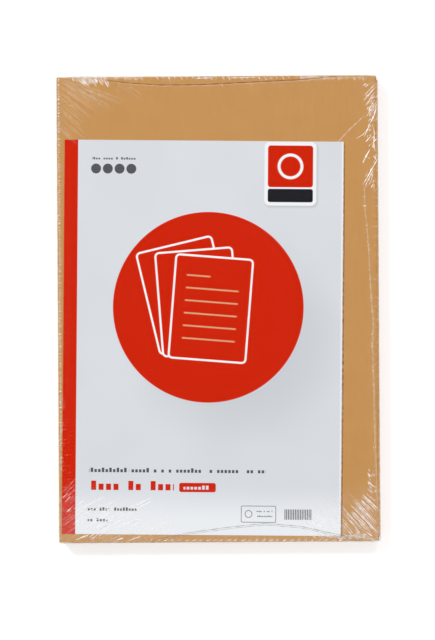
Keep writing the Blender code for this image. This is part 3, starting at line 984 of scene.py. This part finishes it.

# %% Bright pleats in the lower corners: near-white strips, painted highlights
lower_glints = draw_strands("lower_glints", [
    *lines(
        (0.7, 354.7, 500.4, 366, 513, 375.8, 524.5), (0.7, 351, 505.3, 364, 519, 378.1, 532.8),
        (0.6, 352.1, 510.9, 366.8, 525.3), (0.5, 352.5, 515.5, 365.3, 525.3), (0.8, 362.3, 494.3, 378.1, 509),
        (0.9, 361.5, 500.4, 366, 505.5), (0.6, 367.5, 472.8, 369.8, 475.5), (0.6, 372.1, 473.2, 375.1, 476.2),
        (0.5, 367.5, 481.5, 375.8, 488.3), (0.6, 349.4, 520, 354, 524.5), (0.6, 346.4, 512.5, 350.2, 515.5),
        (0.7, 365.3, 531.3, 372.8, 536.6), (0.6, 347.2, 529.8, 351.7, 535.1),
    ),
    *fan((361, 493, 379, 508), (345, 497, 378, 537), 12, 0.32, 6, (0.0, 0.5), (0.6, 1.0)),
    *fan((343, 500, 376, 536), (318, 508, 345, 541), 11, 0.30, 7, (0.0, 0.4), (0.7, 1.0)),
    *fan((367, 470, 374, 477), (366, 504, 375, 512), 8, 0.38, 8, (0.0, 0.4), (0.6, 1.0)),
    *fan((314, 510, 341, 537), (296, 520, 318, 541), 9, 0.6, 30, (0.0, 0.4), (0.6, 1.0)),
    *fan((75, 508, 100, 494), (86, 541, 150, 515), 10, 0.5, 31, (0.0, 0.5), (0.6, 1.0)),
    *lines(
        (0.4, 62.6, 498.1, 68, 492.8), (0.4, 64.5, 502.7, 70.6, 496.2), (0.5, 67, 512, 71.5, 507.5),
        (0.7, 76.8, 506.6, 82.9, 500.4), (0.8, 134.9, 505.8, 152.5, 497.4), (0.8, 135.7, 508.9, 153.3, 500.4),
        (0.6, 128, 509, 136, 504), (0.7, 75.2, 540.2, 88.3, 534.9), (0.8, 116.6, 540.2, 123.5, 537.9),
        (0.5, 128, 541, 142, 536),
    ),
    *scatter((371.5, 487), (4.5, 17), 20, (2, 4), (40, 60), 0.34, 36),
    *scatter((362, 522), (13, 15), 16, (4, 12), (42, 54), 0.32, 37),
    *scatter((328, 526), (12, 10), 16, (5, 12), (35, 50), 0.40, 38),
    *scatter((94, 522), (17, 15), 20, (5, 14), (-45, -28), 0.40, 39),
    *scatter((140, 524), (28, 12), 14, (6, 14), (-32, -18), 0.40, 40),
], seed=11, height=0.12)

# %% Faint pleats, pale strips of painted sheen, which only lighten what is under them
faint = [
    *fan((60, 78, 137, 104), (58, 87, 104, 120), 11, 0.40, 3, (0.0, 0.1), (0.6, 1.0)),
    *fan((57, 87, 102, 124), (57, 130, 76, 149), 14, 0.40, 50, (0.0, 0.1), (0.6, 1.0)),
    *fan((112, 83, 143, 103), (128, 84, 152, 100), 4, 0.45, 20),
    *fan((60, 492, 78, 472), (60, 538, 122, 500), 15, 0.42, 9, reach=(0.5, 1.0)),
    *fan((62, 541, 128, 500), (130, 543, 214, 515), 14, 0.55, 10, reach=(0.5, 1.0)),
    *fan((374, 541, 330, 486), (318, 541, 292, 508), 11, 0.6, 21, (0.0, 0.4), (0.6, 1.0)),
    *lines((0.9, 335, 145, 350, 129, 365, 115), (1.3, 344, 141.8, 343, 340, 341, 535)),
]
faint_pleats = draw_strands("faint_pleats", faint, seed=22, height=0.09)
faint_fold = draw_strands("faint_fold", faint, seed=22, height=0.09, on_fold=True)

# %% Dark pleats, painted shade where the film stands on edge, and a painted shadow along the sheet's edge
# Painted shade: thin dark strands stand for the shaded side of a pleat.
dark = lines((0.3, 136, 507.4, 153, 499), (0.4, 70, 80, 110, 108), (0.4, 112, 83, 140, 105))
dark_pleats = draw_strands("dark_pleats", dark, seed=15)
# Painted shadow: a dark brown strand along the sheet's right edge stands for the sheet's shadow on the card.
rim = lines((1.0, 344.7, 141.6, 341.7, 536.2))
sheet_edge_shadow = draw_strands("sheet_edge_shadow", rim, seed=23, step=2.0, taper=0.05)

# %% Short pleats along the edges: near-white strips, painted highlights
PACK_LEFT = 57.0
PACK_RIGHT = 379.5
PACK_TOP = 76.0
PACK_FOOT = 541
EDGE_LEAN = 0.006

dice = np.random.default_rng(16)
side_ticks = []
for down in np.arange(80, 470, 2.3):
    across = PACK_LEFT + EDGE_LEAN * (down - 80) + dice.uniform(0, 1.0)
    length = dice.uniform(1.2, 3.0) * (1.6 if dice.random() < 0.15 else 1)
    down += dice.uniform(-1, 1)
    side_ticks.append((((across, down), (across + length, down - length * 0.3)), dice.uniform(0.3, 0.6)))
end_ticks = []
for start, end, gap in ((114, 142, 2.4), (300, 362, 2.2), (150, 290, 6.0)):
    for across in np.arange(start, end, gap):
        down = PACK_TOP + dice.uniform(0, 0.8)
        length = dice.uniform(1.5, 4.0)
        end_ticks.append((((across, down), (across + 0.7 * length, down + length)), dice.uniform(0.3, 0.6)))
for down in np.arange(160, 480, 5.5):
    across = PACK_RIGHT + EDGE_LEAN * (down - 80) + dice.uniform(-0.8, 0)
    length = dice.uniform(1.0, 2.4)
    end_ticks.append((((across - length, down), (across, down + length * 0.3)), dice.uniform(0.3, 0.5)))
for across in np.arange(150, 345, 7.0):
    length = dice.uniform(2.0, 5.0)
    end_ticks.append((((across, PACK_FOOT), (across + length, PACK_FOOT - 1.5)), dice.uniform(0.3, 0.5)))
fold_ticks = draw_strands("fold_ticks", side_ticks, step=0.4, seed=17, on_fold=True)
edge_ticks = draw_strands("edge_ticks", end_ticks, step=0.5, seed=18)

# %% [markdown]
# ## The welded seams
# The film was welded along three edges and cut off by the same hot wire, which leaves a thin bead.
# As the film shrank it drew the bead a few millimetres in over the front, so the bead wanders.
# Each bead is a rounder strand with small bends. Fine lips of film run beside the upper and the
# right one, and short puckers run into both where the weld held the film back. The one at the
# foot is an even pair of lines.

# %% Beads, lips and puckers
TOP_ROUTE = (
    (106, 80.2), (130.6, 82.9), (159.9, 84.9), (199.7, 84.6), (250.2, 82), (299.3, 79.6), (336.5, 76.4),
)
RIGHT_ROUTE = (
    (376.8, 159.3), (370.5, 172.6), (362.7, 185.3), (365.3, 189.9), (365, 206.3), (366.5, 217), (369.5, 250),
    (371.1, 285), (374, 325), (372.9, 345.1), (374.1, 379.9), (376, 459.6), (378.1, 508),
)
FOOT_ROUTE = (
    (150.8, 541.4), (186.6, 533), (230.4, 527), (264.9, 523.5), (299.5, 526.1), (339.4, 535), (362, 540.2),
)
BEAD_TAPER = 0.2


def shifted(route, across, down):
    """Move a route in the picture, in pixels."""
    return [(place[0] + across, place[1] + down) for place in route]


# The upper bead wears the sheet_shade finish, so its dark brown line is painted shade as well as a bead.
top_bead = draw_strands(
    "top_bead", [(TOP_ROUTE, 0.75)], 0.5, 0.5, seed=24, soften=40, wander=0.04, taper=BEAD_TAPER,
)
right_bead = draw_strands(
    "right_bead", [(RIGHT_ROUTE, 0.55)], 0.6, 0.5, seed=25, soften=16, wander=0.04, taper=BEAD_TAPER,
)
foot_lines = [(FOOT_ROUTE, 0.55), (shifted(FOOT_ROUTE, 0, 1.6), 0.35)]
foot_bead = draw_strands(
    "foot_bead", foot_lines, 0.4, 0.5, seed=26, soften=40, wander=0.02, taper=BEAD_TAPER,
)
lips = [(shifted(TOP_ROUTE, 0, 1.1), 0.35), (shifted(RIGHT_ROUTE, -0.9, 0), 0.35)]
puckers = []
for route in (TOP_ROUTE, RIGHT_ROUTE):
    corners = np.array(route)
    places = np.arange(6, reach_of(corners)[-1] - 6, 9)
    places += dice.uniform(-4, 4, len(places))
    for across, down in follow(corners, places):
        lean = dice.uniform(-1.2, 1.2)
        size = dice.uniform(1.5, 3.5)
        far = (across - size, down + lean) if route is RIGHT_ROUTE else (across + lean, down + size)
        puckers.append((((across, down), far), dice.uniform(0.3, 0.6)))
seam_lips = draw_strands("seam_lips", lips + puckers, 0.3, 0.6, seed=27, soften=8)


# %% Crumpled laps, where the film was gathered at the edge
def make_lap(name, path, widths, seed, hang=0.0):
    """Lay a crumpled ribbon of film along a path. Widths are in mm, one for each place.

    A ribbon that hangs lies flat, so many mm below the front, instead of bending over the edge.
    """
    dice = np.random.default_rng(seed)
    piece, share, side = add_grid(name, 90, 14)
    corners = np.array([from_picture(*place) for place in path])
    gone = reach_of(corners)
    along = share * gone[-1]
    ragged = 1 + 0.16 * np.sin(along / MM * 0.9) + 0.10 * np.sin(along / MM * 2.9 + 1)
    spread = (side - 0.5) * np.interp(along, gone, np.array(widths) * MM) * ragged
    flat = follow(corners, along)
    flat[:, 1] += spread
    u, v = along / MM, spread / MM
    folds = np.abs(np.sin(1.7 * u + 1.2 * v + dice.uniform(0, 6))) + 0.8 * np.abs(np.sin(0.9 * u - 2.1 * v))
    folds += 0.6 * np.abs(np.sin(2.6 * u + 0.8 * np.sin(2 * v)))
    lift = (0.04 + 0.11 * folds) * MM
    points = lay_on_film(flat, lift)
    if hang:
        points = np.column_stack([flat, FRONT_LEVEL - hang * MM + lift])
    move_points(piece, points)
    thicken(piece, FILM_THICKNESS)
    return piece


foot_lap = make_lap(
    "foot_lap", ((318, 535), (340, 537.5), (352, 537), (359, 535.5), (366, 536.5), (374, 540)),
    (0.8, 2.2, 3.2, 4.6, 3.4, 0.8), 28,
)
head_lap = make_lap(
    "head_lap", ((66, 78), (74, 77), (84, 76.7), (96, 76.7), (108, 78)),
    (0.8, 1.8, 2.4, 2.0, 0.8), 29, hang=0.25,
)
print("laps:", len(foot_lap.data.polygons) + len(head_lap.data.polygons), "faces")

# %% [markdown]
# ## The film's finish
# Clear film shows nearly nothing of itself: where it is flat the card comes straight through, and
# only a little of the room shines back. Alpha says how much of the film is seen. It is low, rises
# towards the rim as any gloss does, which a Fresnel node gives, and rises in each crease, where
# many layers of plastic meet; on this near-white film that rise is also a painted sheen. Streaks
# come from a noise that is stretched along the crease, and the dark streaks tint the film
# grey-brown, which is painted shade. Towards the foot of the pack the film's alpha rises a little
# more, so the foot reads paler.

# %% Streaks along a crease, as a node group
streak_group, given, result = new_group(
    "film_streaks", ("Light", "Dark", "Height"), Place=(0, 0, 0), Amount=1.0, Across=0.8, Along=0.05,
)
across, along = split(given["Place"])[:2]
streaks = noise(join(times(across, given["Across"]), times(along, given["Along"])), 1.0, 2.0)
feed(
    result, Light=times(fade(streaks, 0.53, 0.68), given["Amount"]),
    Dark=times(fade(streaks, 0.46, 0.34), given["Amount"]), Height=times(streaks, given["Amount"]),
)
print("made", streak_group.name, "with", len(streak_group.nodes), "nodes")


def stored(tree, label, socket):
    """Read what a piece keeps for each of its points."""
    return node(tree, "ShaderNodeAttribute", {"attribute_name": label}).outputs[socket]


# %% Let light through
# A closed sheet is seen twice, once as it is entered and once as it is left, so only the side that
# faces the viewer counts. Clear film also casts hardly any shadow, from the lamps or from the
# light of the room, although it glints.
SHADOW_LOSS = 0.9


def show_through(shader, amount):
    """Link an amount to Alpha, with the far side left out and with only a light shadow."""
    back = node(shader.id_data, "ShaderNodeNewGeometry").outputs["Backfacing"]
    path = node(shader.id_data, "ShaderNodeLightPath").outputs
    lighting = maths("MAXIMUM", path["Is Shadow Ray"], path["Is Diffuse Ray"])
    seen = times(times(amount, minus(1.0, back)), maths("MULTIPLY_ADD", lighting, -SHADOW_LOSS, 1.0))
    seen.node.use_clamp = True
    feed(shader, Alpha=seen)


# %% The clear film
FLAT_SHINE = 0.034
CLEAREST = 0.004
FOOT_PALING = 0.05

film, tree, shader = new_finish("clear_film", 0.14)
fans = stored(tree, "fan_place", "Vector")
edges = stored(tree, "edge_place", "Vector")
fan_amount = stored(tree, "fan_amount", "Fac")
edge_amount = stored(tree, "edge_amount", "Fac")
fine = use_group(streak_group, fans, Amount=fan_amount, Across=0.95, Along=0.055)
broad = use_group(streak_group, fans, Amount=fan_amount, Across=0.24, Along=0.016)
ticks = use_group(streak_group, edges, Amount=edge_amount, Across=0.95, Along=0.16)
rim = node(tree, "ShaderNodeFresnel", IOR=1.45).outputs["Fac"]
turned_away = maths("MAXIMUM", minus(rim, FLAT_SHINE), 0.0)
# The Light streaks raise the alpha of near-white film along each crease: the creases are real, and their pale
# sheen is painted.
seen = CLEAREST
for part, share in (
    (fine["Light"], 0.30), (broad["Light"], 0.07), (ticks["Light"], 0.34), (fine["Dark"], 0.06),
    (turned_away, 0.9),
):
    seen = maths("MULTIPLY_ADD", part, share, seen)
# The film's alpha rises a little towards the foot, so the foot of the pack reads paler.
film_paler_to_foot = fade(split(piece_place(tree))["Y"], -0.125, -0.165, 0.0, FOOT_PALING)
show_through(shader, plus(seen, film_paler_to_foot))
# Painted shade: the Dark streaks turn the film grey-brown along its creases.
crease_shade = times(plus(fine["Dark"], ticks["Dark"]), 0.8)
feed(shader, Base_Color=mix_colours(crease_shade, colour(250, 251, 253), colour(170, 160, 152)), Metallic=0.7)
add_relief(shader, plus(plus(fine["Height"], broad["Height"]), ticks["Height"]), 0.5, 0.0003)
print("clear film:", len(tree.nodes), "nodes")
for piece in (front_film, left_film, back_film):
    paint(piece, film)

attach(front_film, "cover")
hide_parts("film_front")
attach(back_film, "pack_base")
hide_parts("film_back")


def bend_fold(piece):
    """Keep a piece on the left fold in place, with its transform baked into its mesh."""
    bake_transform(piece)


bend_fold(left_film)
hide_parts("film_left_fold")

# %% The finishes of pleats, welds and laps
PALE_FILM = colour(250, 248, 246)
# Of these, the near-white bright pleats are painted highlights and the faint ones a painted sheen; the dark
# pleats are painted shade, and sheet_shade is a painted shadow on the sheet's edge and the upper bead.
LOOKS = (
    # name, colour, least and most alpha, roughness, metallic, how far it pales, the pieces
    ("bright_pleat", (255, 255, 254), 0.72, 1.00, 0.30, 0.10, 0.3,
     (upper_glints, lower_glints, edge_ticks, fold_ticks)),
    ("faint_pleat", (255, 245, 226), 0.15, 0.45, 0.22, 0.10, 0.3, (faint_pleats, faint_fold)),
    ("dark_pleat", (104, 96, 90), 0.15, 0.40, 0.30, 0.0, 0.3, (dark_pleats,)),
    ("sheet_shade", (150, 90, 42), 0.60, 0.90, 0.50, 0.0, 0.02, (sheet_edge_shadow, top_bead)),
    ("bead", (236, 216, 196), 0.30, 0.75, 0.25, 0.6, 0.3, (right_bead, seam_lips)),
    ("weld_line", (112, 110, 110), 0.45, 0.60, 0.50, 0.0, 0.1, (foot_bead,)),
    ("lap", (245, 238, 232), 0.20, 0.62, 0.25, 0.25, 0.3, (foot_lap, head_lap)),
)


def make_pleat(name, tint, least, most, roughness, metallic, paleness):
    """Make doubled film: its alpha changes along the pleat, as its two layers part and meet."""
    material, tree, shader = new_finish(name, roughness)
    parting = noise(piece_place(tree), 420.0, 2.0)
    show_through(shader, fade(parting, 0.35, 0.65, least, most))
    paler = mix_colours(parting, tint, PALE_FILM)
    feed(shader, Base_Color=mix_colours(paleness, tint, paler), Metallic=metallic)
    return material


for name, tint, *look, pieces in LOOKS:
    finish = make_pleat(name, colour(*tint), *look)
    for piece in pieces:
        paint(piece, finish)
        if piece in (fold_ticks, faint_fold):
            bend_fold(piece)
        else:
            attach(piece, "cover")
print("finishes of pleats, welds and laps:", len(LOOKS))
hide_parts("top_seam")
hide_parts("right_seam")
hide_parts("bottom_seam")

# %% [markdown]
# ## The creases of the top folder
# Folder card is scored before it is folded, so a crease is a smooth round bend with a few fine
# ridges where the score broke the card's skin. Each crease is a narrow grid rolled into a half
# round, given the card's thickness with a Solidify modifier.

# %% Roll the creases
CARD = 0.0004


def roll_crease(name, out):
    """Roll a strip half round, in place of a crease. Out is the way it bulges, across and up."""
    low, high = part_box(name)
    level = (low.z + high.z) / 2
    radius = (high.z - low.z - CARD) / 2
    piece, share, place = add_grid(name.replace("crease", "bend"), 12, 180)
    angle = (share - 0.5) * pi
    start, end = (low.y, high.y) if out[0] else (low.x, high.x)
    length = start + place * (end - start)
    score = 1 + 0.03 * np.cos(9 * angle) * np.cos(angle) * (1 + 0.5 * np.sin(length / MM * 0.9))
    bulge = radius * np.cos(angle) * score
    height = level + radius * np.sin(angle)
    if out[0]:
        across, up = (high.x if out[0] < 0 else low.x), 0
        points = np.column_stack([across + out[0] * bulge, length, height])
    else:
        across, up = 0, (low.y if out[1] > 0 else high.y)
        points = np.column_stack([length, up + out[1] * bulge, height])
    move_points(piece, points)
    thicken(piece, CARD)
    edit_all(piece, bpy.ops.mesh.normals_make_consistent, inside=False)
    paint(piece, card)
    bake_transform(piece)
    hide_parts(name)
    print(piece.name, "radius in mm:", round(radius / MM, 3))


roll_crease("spine_crease", (-1, 0))
roll_crease("side_crease", (1, 0))
roll_crease("top_crease", (0, 1))
roll_crease("bottom_crease", (0, -1))
